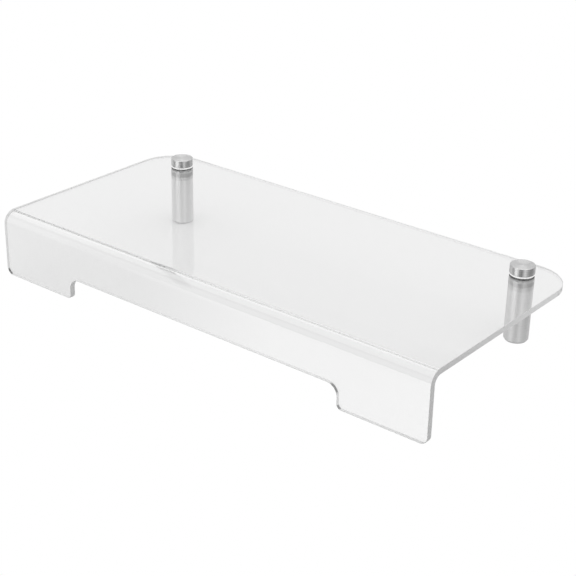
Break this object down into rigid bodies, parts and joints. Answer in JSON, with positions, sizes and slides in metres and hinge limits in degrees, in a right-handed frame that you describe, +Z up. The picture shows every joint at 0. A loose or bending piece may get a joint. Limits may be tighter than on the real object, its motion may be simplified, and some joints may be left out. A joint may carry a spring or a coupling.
{
  "type": "monitor riser stand",
  "caption": "Low desk stand: a clear sheet bent down in front into a notched skirt, held up at the rear by round metal standoff legs with screw caps.",
  "frame": {"origin": "middle of the footprint on the desk", "axes": "+X to the right along the front skirt, +Y to the rear, towards the legs, +Z up"},
  "size_m": [0.54, 0.255, 0.081],
  "materials": {
    "clear_sheet": "clear, polished faces and edges",
    "clear_washer": "clear",
    "barrel_metal": "satin, brushed along the barrel",
    "cap_metal": "polished side, spun-brushed crown",
    "stud_steel": "plain machined",
    "bush_brass": "plain machined",
    "plug_plastic": "moulded",
    "pad_rubber": "soft, matt"
  },
  "bodies": {
    "stand": {"deck_panel": "clear_sheet", "left_leg_tube": "barrel_metal", "left_leg_insert": "bush_brass", "left_leg_plug": "plug_plastic", "left_foot_pad": "pad_rubber", "left_lower_washer": "clear_washer", "right_leg_tube": "barrel_metal", "right_leg_insert": "bush_brass", "right_leg_plug": "plug_plastic", "right_foot_pad": "pad_rubber", "right_lower_washer": "clear_washer"},
    "left_washer": {"left_upper_washer": "clear_washer"},
    "left_screw_cap": {"left_cap": "cap_metal", "left_cap_stud": "stud_steel"},
    "right_washer": {"right_upper_washer": "clear_washer"},
    "right_screw_cap": {"right_cap": "cap_metal", "right_cap_stud": "stud_steel"}
  },
  "joints": [
    {"name": "left_cap_lift", "type": "slide", "parent": "stand", "child": "left_washer", "axis": [0, 0, 1], "range_m": [0, 0.01]},
    {"name": "left_cap_turn", "type": "hinge", "parent": "left_washer", "child": "left_screw_cap", "pos_m": [-0.224, 0.099, 0.0725], "axis": [0, 0, 1], "range_deg": [0, 2880]},
    {"name": "right_cap_lift", "type": "slide", "parent": "stand", "child": "right_washer", "axis": [0, 0, 1], "range_m": [0, 0.01]},
    {"name": "right_cap_turn", "type": "hinge", "parent": "right_washer", "child": "right_screw_cap", "pos_m": [0.224, 0.099, 0.0725], "axis": [0, 0, 1], "range_deg": [0, 2880]}
  ],
  "couplings": [
    {"joint": "left_cap_lift", "follows": "left_cap_turn", "m_per_rad": 0.00019894},
    {"joint": "right_cap_lift", "follows": "right_cap_turn", "m_per_rad": 0.00019894}
  ]
}
